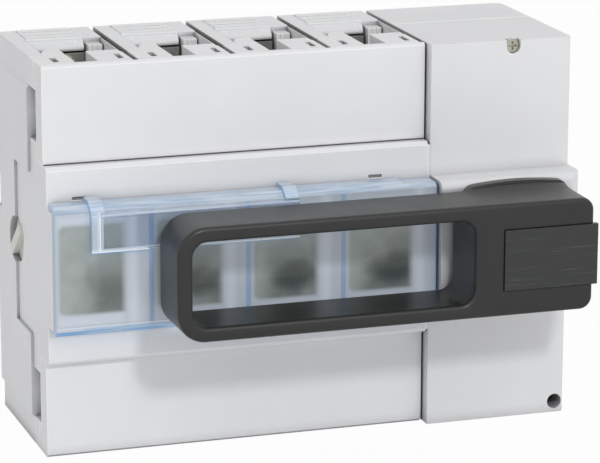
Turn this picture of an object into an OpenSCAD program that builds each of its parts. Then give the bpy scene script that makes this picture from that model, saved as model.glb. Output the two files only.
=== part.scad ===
// Four-pole switch disconnector with a front loop handle.
// Millimetres. X runs along the poles, the front faces -Y, Z is up.
// The origin is the middle of the rear mounting face.

/* [Case] */
// Number of poles side by side
pole_count = 4; // [3:1:4]
// Width of one pole
pole_pitch = 35; // [33:0.5:42]
// Height of the case
body_h = 140; // [132:1:166]
// Width of the mechanism case
mech_w = 53.5; // [50:0.5:64]
// Depth from the rear face to the terminal covers
base_d = 65; // [62:1:78]
// How far the middle zone stands in front of the terminal covers
mid_rise = 4.5; // [3.5:0.1:5.5]
// How far the window frame stands in front of the middle zone
frame_rise = 6.2; // [5:0.1:7.5]
// Thickness of the clear window cover over the frame
window_t = 4.1; // [3.4:0.1:5]
// How far the plinth stands in front of the middle zone
plinth_rise = 12.5; // [11:0.5:15]
// Wall of the case mouldings
wall = 2.6; // [2.2:0.1:3]

/* [Handle] */
// Length of the handle from its free end to the end of its hub
handle_len = 151.7; // [135:0.1:180]
// Half height of the handle bar loop
handle_half = 20.2; // [18:0.1:22]
// Depth of the handle loop from front to back
handle_t = 23; // [20:0.5:27]
// Distance from the pivot to the hub end of the handle
hub_end = 20.75; // [19:0.25:24]
// Width of the square on the spindle
spindle_w = 8.4; // [7:0.1:8.4]

/* [Contacts] */
// Diameter of the contact shaft
shaft_d = 16.5; // [14:0.5:18]
// Length of a moving contact blade
blade_len = 48; // [42:1:49]
// Angle that the blades open by
open_angle = 50; // [40:1:52]
// Width of a fixed contact bar
bar_w = 18; // [15:1:20]
// Number of splitter plates in an upper arc chute
plate_count = 6; // [4:1:6]

/* [Hidden] */
$fn = 48;

// Colours
light_grey = "#dfe0e3";
mech_grey = "#d9d9dc";
dark_grey = "#44474a";
plate_grey = "#3a3b3a";
cream = "#e0dfd8";
nickel = "#b8b7a5";
steel = "#9a9c9e";
copper = "#c98a5a";
silver = "#c9c9c6";
fibre = "#8d6f52";
clear_blue = [0.62, 0.76, 0.88, 0.45];

// Clearances
shaft_gap = 0.08;
bore_gap = 0.05;
slide_gap = 0.3;

// Widths
poles_w = pole_count * pole_pitch;
total_w = poles_w + mech_w;
left = -total_w / 2;
poles_end = left + poles_w - 0.6;
mech_left = left + poles_w + 0.2;
mech_right = left + total_w;
pivot_x = left + poles_w + mech_w / 2;
function pole_left(i) = left + (i - 1) * pole_pitch;

// Heights, each for the upper half
half_h = body_h / 2;
cover_low = half_h / 2 + 0.2;
frame_half = 20.8;
chamber_half = half_h * 33 / 70;
band_top = chamber_half + 8;
slot_floor = band_top - 1;
split_half = chamber_half - 3.7;
return_z = half_h - 8;
bolt_z = half_h - 12.5;
bolt_r = 4;
bolt_gap = 0.1;

// Depths, from the rear face to the front
rear_wall = 4;
axis_y = -26.6;
side_proud = 1.1;
mech_split = -29;
split_y = -47.4;
cover_t = 2;
cover_y = -base_d;
cover_back = cover_y + cover_t;
mid_y = cover_y - mid_rise;
frame_y = mid_y - frame_rise;
window_y = frame_y - window_t;
plinth_y = mid_y - plinth_rise;
hub_y = plinth_y - 0.5;
loop_back = plinth_y - 3;
handle_y = loop_back - handle_t;
plate_y = handle_y - 0.6;

// Terminal zone of a pole, from the pole's left edge
pole_gap = 2.1;
pole_edge = 0.3;
right_edge = pole_pitch - pole_gap + pole_edge;
cavity_left = 5.5;
thin_wall = 0.7;
cavity_right = right_edge - thin_wall;
hood_y = -20.5;
hood_t = 4.5;
bar_end = half_h - hood_t - 0.2;
bolt_x = 17.2;
blade_w = 14;
blade_t = 5;
pad_t = 0.8;
contact_gap = 0.3;
bar_y = axis_y + blade_t / 2 + pad_t + contact_gap;
bar_t = 4;
low_face = axis_y - blade_t / 2 - pad_t - contact_gap;
chamber_left = wall;
chamber_right = pole_pitch - wall;
ledge = 1.2;

// Basic shapes

// Box between two opposite corners
module block(a, b) { translate(a) cube(b - a); }

// Round bar along Y
module rod_y(x, z, r, y0, y1) {
    translate([x, y1, z]) rotate([90, 0, 0]) cylinder(r = r, h = y1 - y0);
}

// Round bar along X
module rod_x(y, z, r, x0, x1) {
    translate([x0, y, z]) rotate([0, 90, 0]) cylinder(r = r, h = x1 - x0);
}

// Drawing in X and Z, extruded from y0 to y1
module slab(y0, y1) {
    translate([0, y1, 0]) rotate([90, 0, 0]) linear_extrude(y1 - y0) children();
}

// Drawing in Y and Z, extruded from x0 to x1
module strip(x0, x1) {
    translate([x0, 0, 0]) rotate([90, 0, 90]) linear_extrude(x1 - x0) children();
}

// Drawing in X and Y, extruded from z0 to z1
module post(z0, z1) { translate([0, 0, z0]) linear_extrude(z1 - z0) children(); }

// Keeps the children and adds their mirror image in Z
module both_ends() {
    children();
    mirror([0, 0, 1]) children();
}

// Rectangle with round corners, between two corners
module round_rect(a, b, r) {
    translate([a[0] + r, a[1]]) square([b[0] - a[0] - 2 * r, b[1] - a[1]]);
    translate([a[0], a[1] + r]) square([b[0] - a[0], b[1] - a[1] - 2 * r]);
    for (x = [a[0] + r, b[0] - r], z = [a[1] + r, b[1] - r]) translate([x, z]) circle(r);
}

// Closes an outline that is symmetric in its second coordinate
function mirrored(half) =
    concat(half, [for (i = [len(half) - 1:-1:0]) [half[i][0], -half[i][1]]]);

// Plate with round corners whose front edges are bevelled by c; c below zero flares it.
// The left corners have the radius rl, and the right ones rr.
module bevel_plate(x0, x1, z1, rl, rr, y_back, y_front, c) {
    // Straight depth behind the bevel, which laps what the plate joins
    lap = y_back + 0.5;
    strip(x0 + rl, x1 - rr)
        polygon([[lap, -z1], [lap, z1], [y_back, z1], [y_front, z1 - c], [y_front, c - z1],
                 [y_back, -z1]]);
    post(rl - z1, z1 - rl)
        polygon([[x0, lap], [x0 + rl, lap], [x0 + rl, y_front], [x0 + c, y_front], [x0, y_back]]);
    post(rr - z1, z1 - rr)
        polygon([[x1, lap], [x1 - rr, lap], [x1 - rr, y_front], [x1 - c, y_front], [x1, y_back]]);
    for (s = [-1, 1], end = [[x0 + rl, rl], [x1 - rr, rr]]) {
        translate([end[0], y_back, s * (z1 - end[1])]) rotate([90, 0, 0])
            cylinder(r1 = end[1], r2 = end[1] - c, h = y_back - y_front);
        rod_y(end[0], s * (z1 - end[1]), end[1], y_back, lap);
    }
}

// Pole block

// Shell of the rear base before its holes
module rear_shell() {
    side_half = half_h - 9.7;
    notch = [7, 19];
    notch_d = 6;
    flat_half = side_half - side_proud;
    side = [[0, flat_half], [split_y, flat_half], [split_y, split_half],
            [axis_y, split_half]];
    strip(left, poles_end)
        polygon(mirrored([[0, half_h], [split_y, half_h], [split_y, split_half],
                          [axis_y, split_half]]));
    difference() {
        strip(left - side_proud, left) polygon(mirrored(side));
        block([left - side_proud - 1, -notch_d, notch[0]], [left + 1, 1, notch[1]]);
    }
    // Bevel that ends the proud side panel at the top and bottom
    both_ends() slab(split_y, 0)
        polygon([[left, side_half], [left, flat_half], [left - side_proud, flat_half]]);
}

// Contact chamber of one pole, as a cut
module chamber(i) {
    p = pole_left(i);
    block([p + chamber_left, mid_y + 3, -chamber_half],
          [p + chamber_right, -rear_wall, chamber_half]);
}

// Upper terminal cavity of one pole, as a cut
module cavity(i) {
    p = pole_left(i);
    under_hood = 28.6;
    block([p + cavity_left, split_y - 1, band_top],
          [p + cavity_right, hood_y, half_h + 1]);
    block([p + cavity_left, hood_y - 1, band_top],
          [p + under_hood, -rear_wall - 1, half_h - hood_t]);
    // Relief of the right wall in front of the hood
    block([p + pole_pitch - pole_gap - 0.1, split_y - 1, band_top],
          [p + right_edge + 1, hood_y + 1.5, half_h + 1]);
}

// Upper slot to the right of a pole, as a cut
module pole_slot(i) {
    p = pole_left(i);
    block([p + right_edge, -200, slot_floor], [p + pole_pitch + pole_edge, 1, half_h + 1]);
}

// Bore for the contact shaft
module shaft_bore() {
    rod_x(axis_y, 0, shaft_d / 2 + shaft_gap, left - 3, pivot_x);
}

// Places of the rear fixing holes
fix_x = [left + pole_pitch, left + 3 * pole_pitch];
fix_z = chamber_half + 3;
fix_r = 2.1;
fix_d = 16;

// Places of the screws that join the two housings
screw_x = [left + cavity_left - 1.2, left + 2 * pole_pitch, poles_end - 4.4];
screw_z = chamber_half + 4;
screw_gap = 0.05;
screw_r = 1.9;
screw_head_r = 3.6;
screw_head_t = 3;
screw_tip = -58;

module rear_base() color(light_grey) {
    difference() {
        rear_shell();
        for (i = [1:pole_count]) {
            chamber(i);
            both_ends() {
                cavity(i);
                pole_slot(i);
                bar_slot(i);
            }
        }
        shaft_bore();
        for (x = fix_x, s = [-1, 1]) rod_y(x, s * fix_z, fix_r, -fix_d, 1);
        for (x = screw_x, s = [-1, 1]) {
            rod_y(x, s * screw_z, screw_r, split_y - 1, 1);
            rod_y(x, s * screw_z, screw_head_r, -screw_head_t - 1, 1);
        }
        for (z = side_screw_z) rod_x(side_screw_y, z, side_screw_r, poles_end - 12, poles_end + 1);
    }
    // Pads that the mechanism case rests against
    both_ends() block([poles_end, -22, 13], [mech_left, -6, 27]);
}

// Slot in the end wall of the chamber for a fixed contact bar
module bar_slot(i) {
    p = pole_left(i);
    block([p + bolt_x - bar_w / 2, bar_y, chamber_half - 1],
          [p + bolt_x + bar_w / 2, bar_y + bar_t, band_top + 1]);
}

// Left block of the driver channel, with its slot, in front of the terminal
module left_block(i) {
    p = pole_left(i);
    face = -44.5;
    tongue = -36.6;
    block([p + cavity_left, split_y - 1, band_top], [p + 13, face, half_h]);
    post(band_top, half_h)
        polygon([[p + cavity_left + 0.2, face - 1], [p + cavity_left + 0.2, -42],
                 [p + 8.3, tongue], [p + 13.7, tongue + 0.8], [p + 14.3, -38],
                 [p + 13, face - 1]]);
}

module front_housing() color(light_grey) {
    bay = [[3.5, -16.2], [30.6, 16.2]];
    bay_r = 4;
    recess_z = [half_h - 28.5, half_h - 10];
    catch_x = [9, 117];
    catch_w = 5;
    difference() {
        union() {
            strip(left, poles_end)
                polygon(mirrored([
                    [split_y, half_h], [cover_back, half_h], [cover_back, cover_low],
                    [mid_y + ledge, cover_low], [mid_y, cover_low - ledge],
                    [mid_y, frame_half + 0.3], [frame_y, frame_half],
                    ]));
            strip(left, poles_end)
                polygon(mirrored([[split_y - 1, split_half], [axis_y, split_half]]));
            for (i = [1:pole_count]) both_ends() {
                left_block(i);
                block([pole_left(i) + 21.3, split_y - 1, band_top],
                      [pole_left(i) + cavity_right, -43.5, half_h]);
            }
        }
        for (i = [1:pole_count]) {
            p = pole_left(i);
            chamber(i);
            slab(frame_y - 1, mid_y + 4)
                round_rect([p + bay[0][0], bay[0][1]], [p + bay[1][0], bay[1][1]], bay_r);
            both_ends() {
                pole_slot(i);
                // Channel for the screwdriver between the two blocks
                block([p + 13, cover_back + 2, band_top], [p + 21.3, -30, half_h + 1]);
                // Square slots in the blocks
                block([p + 5.8, cover_y + 6, half_h - 12], [p + 8.2, cover_y + 14, half_h + 1]);
                block([p + 29, cover_y + 6, half_h - 12], [p + 31.2, cover_y + 15, half_h + 1]);
            }
        }
        shaft_bore();
        both_ends() {
            // Seats of the cover's side return
            block([left - 1, cover_y, cover_low],
                  [left + cover_wall, cover_y + low_return_d, half_h + 1]);
            block([left - 1, cover_y, return_z],
                  [left + cover_wall, cover_y + return_d, half_h + 1]);
            // Dark recess in the left side
            post(recess_z[0], recess_z[1])
                polygon([[left - 1, cover_y + low_return_d - 1], [left + 3.2, cover_y + 8],
                         [left + 3.2, cover_y + 21], [left - 1, cover_y + 21]]);
        }
        // Catch slots behind the top edge of the window cover
        for (x = catch_x)
            block([left + x, mid_y - 1, cover_top + 0.2],
                  [left + x + catch_w, mid_y + 1.8, cover_top + 1.3]);
        for (x = screw_x, s = [-1, 1]) rod_y(x, s * screw_z, screw_r, screw_tip, 0);
    }
}

// Terminal cover over the upper terminals
return_d = 11.6;
low_return_d = 8.7;
cover_wall = 1.5;

module terminal_cover() {
    edge = 0.8;
    lap = 0.5;
    strip(left, poles_end)
        polygon([[cover_back, cover_low], [cover_back, half_h], [cover_y + edge, half_h],
                 [cover_y, half_h - edge], [cover_y, cover_low + 0.5],
                 [cover_y + 0.5, cover_low]]);
    block([left, cover_back - lap, cover_low], [left + cover_wall, cover_y + low_return_d, half_h]);
    block([left, cover_back - lap, return_z], [left + cover_wall, cover_y + return_d, half_h]);
}

module top_terminal_cover() color(light_grey) terminal_cover();

module bottom_terminal_cover() color(light_grey) mirror([0, 0, 1]) terminal_cover();

// Section of the clear cover: outside, from the top back corner
cover_top = 23.3;
cover_shoulder = 21.1;
cover_foot = -20.5;
cover_lip = -22.3;
clear_t = 1.7;
clear_gap = 0.1;

module window_cover() color(clear_blue) {
    side_inset = 0.3;
    right = poles_end - side_inset;
    lip_gap = 0.35;
    step_x = left + 127;
    difference() {
        strip(left + side_inset, right)
            polygon([[mid_y - 1.6, cover_top], [window_y + 3, cover_top],
                     [window_y, cover_shoulder], [window_y, cover_foot],
                     [window_y + 1.6, cover_lip], [mid_y - 1.6, cover_lip]]);
        // Room for the window frame, which the top and bottom lips clasp
        block([left, frame_y, -frame_half - lip_gap], [poles_end, mid_y, frame_half + lip_gap]);
        // Lower step of the top edge near the mechanism
        block([step_x, window_y + 2, cover_top - 0.8], [right + 1, mid_y, cover_top + 1]);
        // Hollow between the ribs
        for (i = [1:pole_count])
            block([pole_left(i) + 0.9 + (i == 1 ? 0.7 : 0), window_y + clear_t, cover_foot + 1.6],
                  [pole_left(i) + pole_pitch - 0.9 - (i == pole_count ? 1.4 : 0), frame_y + 1,
                   cover_shoulder - 1.6]);
    }
}

module window_slide() color(clear_blue) {
    strip_t = 2.6;
    back = window_y - clear_gap;
    front = back - strip_t;
    low = 7;
    x0 = left + 12.5;
    x1 = x0 + 74.9;
    hook_w = 5;
    hook_t = 1.4;
    top = cover_top + clear_gap;
    notch_x = left + 33;
    notch_w = 4.7;
    difference() {
        strip(x0, x1)
            polygon([[front, low + 0.5], [front + 0.5, low], [back, low],
                     [back, cover_shoulder - 0.4], [front + 0.5, cover_shoulder - 0.4],
                     [front, cover_shoulder - 0.9]]);
        // Shallow relief that leaves a thick lower edge and thick ends
        block([x0 + 3.4, front - 1, low + 1.5], [x1 - 1.6, front + 1.2, cover_shoulder - 1.6]);
        // Clip notch in the lower edge
        block([notch_x, front - 1, low - 1], [notch_x + notch_w, window_y + 1, low + 0.9]);
    }
    // Hooks over the top edge of the window cover
    for (x = [x0, x1 - hook_w]) strip(x, x + hook_w)
        polygon([[front + 0.6, cover_shoulder - 1.5], [back, cover_shoulder - 1.5],
                 [back, cover_shoulder], [window_y + 3 - clear_gap, top], [mid_y - 1.6, top],
                 [mid_y - 1.6, top + hook_t], [window_y + 2.4, top + hook_t],
                 [front + 0.6, cover_shoulder + 0.4]]);
}

// Mechanism case

case_r = 3.5;
mech_hole_x = mech_right - 3.5;
mech_hole_z = 4 - half_h;
mech_hole_r = 2.75;
lid_screw_x = pivot_x + 4.65;
lid_screw_z = half_h - 2.3;
lid_screw_r = 1.6;

// Outline of the mechanism case from above, between two depths
module mech_plan(y0, y1, r_back, r_front) {
    translate([mech_left, y0]) square([mech_right - mech_left - r_back, y1 - y0]);
    translate([mech_left, y0]) square([mech_right - mech_left, y1 - y0 - r_back]);
    translate([mech_right - r_back, y1 - r_back]) circle(r_back);
}

module mechanism_base() color(mech_grey) {
    floor_t = 3;
    keeper = 28;
    difference() {
        post(-half_h, half_h) mech_plan(mech_split, 0, case_r, 0);
        block([mech_left + wall, mech_split - 1, wall - half_h],
              [mech_right - wall, -floor_t, half_h - wall]);
        rod_x(axis_y, 0, shaft_d / 2 + shaft_gap, left, mech_left + wall + 1);
        rod_y(mech_hole_x, mech_hole_z, mech_hole_r, -60, 1);
        rod_y(lid_screw_x, lid_screw_z, lid_screw_r, -60, -8);
        for (z = side_screw_z) rod_x(side_screw_y, z, side_screw_r, left, mech_left + 9);
    }
    difference() {
        union() {
            // Boss round the fixing hole
            rod_y(mech_hole_x - 0.6, mech_hole_z + 0.6, 4.1, mech_split, -1);
            // Boss for the screw of the front half
            block([lid_screw_x - 4, mech_split, half_h - 8], [lid_screw_x + 4, -1, half_h - 1]);
        }
        rod_y(mech_hole_x, mech_hole_z, mech_hole_r, -60, 1);
        rod_y(lid_screw_x, lid_screw_z, lid_screw_r, -60, -8);
        outside_of_case();
    }
    // Keepers behind the drive slide
    for (x = [mech_left + wall, slide_right + slide_gap], s = [-1, 1])
        block([x, yoke_back + slide_gap, s > 0 ? 16 : -keeper],
              [x + keeper_w, -1, s > 0 ? keeper : -16]);
    // Bosses of the side screws
    for (z = side_screw_z) difference() {
        rod_x(side_screw_y, z, 4, mech_left + 1, mech_left + 8);
        rod_x(side_screw_y, z, side_screw_r, mech_left, mech_left + 9);
    }
}

// Everything beyond the outline of the mechanism case, as a cut
module outside_of_case() {
    block([mech_right, -200, -200], [mech_right + 50, 50, 200]);
    block([mech_left - 50, -200, -200], [mech_right + 50, 50, -half_h]);
    block([mech_left - 50, -200, half_h], [mech_right + 50, 50, 200]);
}

plinth_half = 23;
bush_r = 9;
bush_y = mid_y + 2.5;

module mechanism_cover() color(mech_grey) {
    plinth_r = 3;
    end_r = 4.5;
    edge_r = 1.2;
    recess_w = 5.2;
    difference() {
        union() {
            post(-half_h, half_h) {
                translate([mech_left, mid_y]) square([mech_right - mech_left - edge_r,
                                                      mech_split - mid_y]);
                translate([mech_left, mid_y + edge_r])
                    square([mech_right - mech_left, mech_split - mid_y - edge_r]);
                translate([mech_right - edge_r, mid_y + edge_r]) circle(edge_r);
            }
            intersection() {
                strip(mech_left, mech_right) {
                    translate([plinth_y + plinth_r, -plinth_half])
                        square([mid_y - plinth_y, 2 * plinth_half]);
                    translate([plinth_y, plinth_r - plinth_half])
                        square([plinth_r + 1, 2 * (plinth_half - plinth_r)]);
                    for (s = [-1, 1]) translate([plinth_y + plinth_r, s * (plinth_half - plinth_r)])
                        circle(plinth_r);
                }
                post(-plinth_half - 1, plinth_half + 1) {
                    translate([mech_left, plinth_y])
                        square([mech_right - mech_left - end_r, plinth_rise + 5]);
                    translate([mech_right - end_r, plinth_y + end_r]) circle(end_r);
                    translate([mech_left, plinth_y + end_r])
                        square([mech_right - mech_left, plinth_rise + 5]);
                }
            }
        }
        block([mech_left + wall, mid_y + 3, wall - half_h],
              [mech_right - wall, mech_split + 1, half_h - wall]);
        // Hollow of the plinth, round the seat of the bush
        difference() {
            block([mech_left + wall, plinth_y + 3, 3 - plinth_half],
                  [mech_right - wall - 1, mid_y + 4, plinth_half - 3]);
            rod_y(pivot_x, 0, bush_r + 3, plinth_y, bush_y);
        }
        rod_y(pivot_x, 0, bush_r, plinth_y - 1, bush_y + 5);
        rod_x(axis_y, 0, shaft_d / 2 + shaft_gap, left, mech_left + wall + 1);
        rod_y(mech_hole_x, mech_hole_z, mech_hole_r, mid_y - 1, 1);
        // Open recess of the cover screw
        block([lid_screw_x - recess_w / 2, mid_y - 1, lid_screw_z],
              [lid_screw_x + recess_w / 2, lid_seat, half_h + 1]);
        rod_y(lid_screw_x, lid_screw_z, recess_w / 2, mid_y - 1, lid_seat);
        rod_y(lid_screw_x, lid_screw_z, lid_screw_r, mid_y - 1, 0);
    }
    difference() {
        union() {
            rod_y(mech_hole_x - 0.6, mech_hole_z + 0.6, 4.1, mid_y + 1, mech_split);
            block([lid_screw_x - 4, mid_y + 1, half_h - 8], [lid_screw_x + 4, mech_split, half_h - 1]);
        }
        rod_y(mech_hole_x, mech_hole_z, mech_hole_r, mid_y - 1, 0);
        rod_y(lid_screw_x, lid_screw_z, lid_screw_r, mid_y - 1, 0);
        block([lid_screw_x - recess_w / 2, mid_y - 1, lid_screw_z],
              [lid_screw_x + recess_w / 2, lid_seat, half_h + 1]);
        rod_y(lid_screw_x, lid_screw_z, recess_w / 2, mid_y - 1, lid_seat);
        outside_of_case();
    }
    // Guides for the drive slide
    for (s = [-1, 1]) difference() {
        block([s < 0 ? mech_left + 1 : slide_right - 1.5, guide_front, -30],
              [s < 0 ? slide_left + 1.5 : mech_right - 1, yoke_back, 30]);
        block([slide_left - slide_gap, yoke_front - slide_gap, -31],
              [slide_right + slide_gap, yoke_back + 1, 31]);
    }
    // Post for the fixed leg of the toggle spring
    rod_y(pivot_x, spring_post_z, spring_post_r, mid_y + 1, spring_y + 1);
}

lid_seat = mid_y + 3.2;

module cover_screw() color(nickel) {
    head_r = 2.4;
    head_t = 2;
    slot_w = 0.7;
    difference() {
        union() {
            rod_y(lid_screw_x, lid_screw_z, head_r, lid_seat - head_t, lid_seat);
            rod_y(lid_screw_x, lid_screw_z, lid_screw_r - screw_gap, lid_seat - 1, -10);
        }
        block([lid_screw_x - 1.6, lid_seat - head_t - 1, lid_screw_z - slot_w / 2],
              [lid_screw_x + 1.6, lid_seat - head_t + 1, lid_screw_z + slot_w / 2]);
        block([lid_screw_x - slot_w / 2, lid_seat - head_t - 1, lid_screw_z - 1.6],
              [lid_screw_x + slot_w / 2, lid_seat - head_t + 1, lid_screw_z + 1.6]);
    }
}

// Handle

handle_right = pivot_x + hub_end;
handle_left = handle_right - handle_len;
web_y = handle_y + 7;
socket_y = handle_y + 12;
slide_half = 10.9;
tongue_half = 8;
rail_half = 9.6;
plate_t = 2;
plate_left = pivot_x - 12.85;
plate_right = handle_right + 1.3;
stop_x = pivot_x + 8.25;
stop_r = 1.2;
lock_travel = 11;

module handle() color(dark_grey) {
    end_r = 10;
    hub_r = 4.5;
    bevel = 1;
    bar = 5.3;
    hub_left = pivot_x - crown_w;
    opening_right = pivot_x - 23.55;
    opening_half = handle_half - 5.2;
    opening_r = 5.5;
    difference() {
        union() {
            bevel_plate(handle_left, handle_right, handle_half, end_r, hub_r,
                        handle_y + bevel, handle_y, bevel);
            slab(handle_y + bevel, loop_back) handle_outline(end_r, hub_r);
            slab(loop_back - 1, hub_y)
                round_rect([hub_left, -handle_half], [handle_right, handle_half], hub_r);
            hub_crown();
        }
        bevel_plate(handle_left + bar, opening_right, opening_half, opening_r, opening_r,
                    handle_y + bevel, handle_y - 0.01, -bevel);
        slab(handle_y, loop_back + 20)
            round_rect([handle_left + bar, -opening_half], [opening_right, opening_half],
                       opening_r);
        // Recess of the lock slide, open at the hub end
        block([plate_left - 0.2, handle_y - 1, -slide_half - 0.2],
              [handle_right + 1, plate_y + plate_t + 0.1, slide_half + 0.2]);
        block([plate_left - 0.2, handle_y - 1, -tongue_half - 0.25],
              [handle_right + 1, web_y, tongue_half + 0.25]);
        block([plate_left - 0.2, web_y - 3.8, -rail_half - 0.25],
              [handle_right + 1, web_y - 1.4, rail_half + 0.25]);
        // Square socket for the spindle, and the seat and hole of its screw
        block([pivot_x - spindle_w / 2, socket_y, -spindle_w / 2],
              [pivot_x + spindle_w / 2, hub_y + 1, spindle_w / 2]);
        rod_y(pivot_x, 0, 2.5, handle_y, hub_y);
        rod_y(pivot_x, 0, 4.6, web_y - 1, web_y + 2.8);
    }
    // Peg that stops the lock slide
    rod_y(stop_x, 0, stop_r, web_y - 1.3, web_y + 0.5);
}

// Crowned rise of the hub, highest at its collar and level with the bar near the front
crown_w = 19.6;
crown_z = 22.6;
module hub_crown() {
    crown_r = 128;
    corner = 4.5;
    intersection() {
        slab(handle_y + 2, hub_y) intersection() {
            round_rect([pivot_x - crown_w, -crown_z], [pivot_x + crown_w, crown_z], corner);
            translate([pivot_x, crown_z - crown_r]) circle(crown_r, $fn = 360);
            translate([pivot_x, crown_r - crown_z]) circle(crown_r, $fn = 360);
        }
        strip(pivot_x - crown_w - 1, pivot_x + crown_w + 1)
            polygon(mirrored([[hub_y, crown_z + 0.1], [hub_y - 3, crown_z + 0.1],
                              [hub_y - 12, handle_half + 0.9], [handle_y + 2, handle_half - 0.1]]));
    }
}

// Outline of the handle without its opening
module handle_outline(end_r, hub_r) {
    h = handle_half;
    translate([handle_left + end_r, -h]) square([handle_len - end_r - hub_r, 2 * h]);
    translate([handle_left, end_r - h]) square([end_r + 1, 2 * (h - end_r)]);
    translate([handle_right - hub_r - 1, hub_r - h]) square([hub_r + 1, 2 * (h - hub_r)]);
    for (s = [-1, 1]) {
        translate([handle_left + end_r, s * (h - end_r)]) circle(end_r);
        translate([handle_right - hub_r, s * (h - hub_r)]) circle(hub_r);
    }
}

module lock_slide() color(plate_grey) {
    shackle_r = 3.5;
    shackle_x = stop_x + 6;
    difference() {
        union() {
            block([plate_left, plate_y, -slide_half], [plate_right, plate_y + plate_t, slide_half]);
            block([plate_left, plate_y + 1, -tongue_half],
                  [handle_right, web_y - 0.1, tongue_half]);
            block([plate_left, web_y - 3.6, -rail_half], [handle_right, web_y - 1.6, rail_half]);
        }
        // Groove for a padlock shackle
        translate([shackle_x, web_y, -20]) cylinder(r = shackle_r, h = 40);
        // Groove that runs over the stop peg
        block([stop_x - lock_travel - stop_r - 0.1, web_y - 1.5, -stop_r - 0.15],
              [stop_x + stop_r + 0.1, web_y + 1, stop_r + 0.15]);
    }
}

module handle_screw() color(steel) {
    head_t = 2.6;
    difference() {
        union() {
            rod_y(pivot_x, 0, 4.4, web_y + 2.8 - head_t, web_y + 2.8);
            rod_y(pivot_x, 0, 2.5, web_y + 2, socket_y + 14);
        }
        block([pivot_x - 3, web_y - 1, -0.5], [pivot_x + 3, web_y + 1.4, 0.5]);
    }
}

// Drive

spindle_r = 6;
disc_r = 17;
disc_t = 4.5;
disc_y = mid_y + 11;
crank_r = 10;
crank_pin_r = 3;
yoke_front = disc_y + disc_t + 2.5;
yoke_back = yoke_front + 3.5;
guide_front = disc_y + disc_t + 0.5;
slide_left = mech_left + 5.8;
slide_right = pivot_x + 5.95;
keeper_w = 4;
lost_motion = 0.4;
throw_z = crank_r * sin(45);
arm_r = throw_z / sin(open_angle / 2);
arm_pin_r = 2.5;
lug_left = mech_left + 7.6;
lug_w = 4;
spring_post_z = -36;
spring_post_r = 2;
spring_hole = 14;
spring_y = disc_y - 2.5;
side_screw_y = -14;
side_screw_z = [-48, 48];
side_screw_r = 1.9;
side_screw_head_r = 3.4;
side_screw_head_t = 2.5;

module spindle() color(steel) {
    difference() {
        union() {
            rod_y(pivot_x, 0, spindle_r, hub_y, disc_y);
            block([pivot_x - spindle_w / 2, socket_y, -spindle_w / 2],
                  [pivot_x + spindle_w / 2, hub_y + 1, spindle_w / 2]);
            block([pivot_x - spindle_w / 2, disc_y - 1, -spindle_w / 2],
                  [pivot_x + spindle_w / 2, disc_y + disc_t, spindle_w / 2]);
        }
        rod_y(pivot_x, 0, 2.5, socket_y - 1, socket_y + 14);
    }
}

module spindle_bush() color("#c2a15e") {
    flange_t = 2;
    difference() {
        union() {
            rod_y(pivot_x, 0, bush_r, plinth_y, bush_y);
            rod_y(pivot_x, 0, bush_r + 2.2, bush_y, bush_y + flange_t);
        }
        rod_y(pivot_x, 0, spindle_r + bore_gap, plinth_y - 1, bush_y + flange_t + 1);
    }
}

module drive_disc() color(steel) {
    difference() {
        union() {
            rod_y(pivot_x, 0, disc_r, disc_y, disc_y + disc_t);
            rod_y(pivot_x - throw_z, -throw_z, crank_pin_r, disc_y, yoke_back - 0.2);
        }
        block([pivot_x - spindle_w / 2, disc_y - 1, -spindle_w / 2],
              [pivot_x + spindle_w / 2, disc_y + disc_t + 1, spindle_w / 2]);
        rod_y(pivot_x + spring_hole * sin(45), -spring_hole * sin(45), spring_wire + 0.6,
              disc_y - 1, disc_y + disc_t + 1);
    }
}

// Torsion spring whose legs end in the disc and at the post
spring_wire = 0.8;
spring_r = 6;
spring_turns = 3;
spring_pitch = 1.75;
spring_c = [mech_right - wall - spring_r - spring_wire - 2.85, -30];
spring_steps = 14;
function spring_point(k) =
    let (a = 200 + 360 * k / spring_steps)
    [spring_c[0] + spring_r * cos(a), spring_y - 1.7 + spring_pitch * (k / spring_steps - 1.5),
     spring_c[1] + spring_r * sin(a)];
function spring_path() = concat(
    [[pivot_x - 0.2, spring_y - 1.7 - 1.5 * spring_pitch, spring_post_z + spring_post_r + spring_wire],
     [pivot_x + 4, spring_y - 1.7 - 1.5 * spring_pitch, spring_post_z + 3.0]],
    [for (k = [0:spring_turns * spring_steps]) spring_point(k)],
    [[pivot_x + spring_hole * sin(45), spring_y + 0.2, -spring_hole * sin(45) - 1.8],
     [pivot_x + spring_hole * sin(45), disc_y - 1.3, -spring_hole * sin(45) - 0.4],
     [pivot_x + spring_hole * sin(45), disc_y - 0.5, -spring_hole * sin(45)],
     [pivot_x + spring_hole * sin(45), disc_y + disc_t - 1, -spring_hole * sin(45)]]);

// Sweeps a round wire along points
module wire(points, r, sides) {
    n = len(points);
    function unit(v) = v / norm(v);
    function way(i) = unit(points[min(i + 1, n - 1)] - points[max(i - 1, 0)]);
    ref = [0.13, 1, 0.21];
    rings = [for (i = [0:n - 1])
        let (t = way(i), u = unit(cross(t, ref)), v = cross(t, u))
        for (k = [0:sides - 1])
            points[i] + r * (cos(360 * k / sides) * u + sin(360 * k / sides) * v)];
    faces = concat(
        [[for (k = [sides - 1:-1:0]) k]],
        [for (i = [0:n - 2], k = [0:sides - 1])
            let (a = i * sides + k, b = i * sides + (k + 1) % sides)
            [a, b, b + sides, a + sides]],
        [[for (k = [0:sides - 1]) (n - 1) * sides + k]]);
    polyhedron(rings, faces);
}

module toggle_spring() color(steel) wire(spring_path(), spring_wire, 8);

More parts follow.
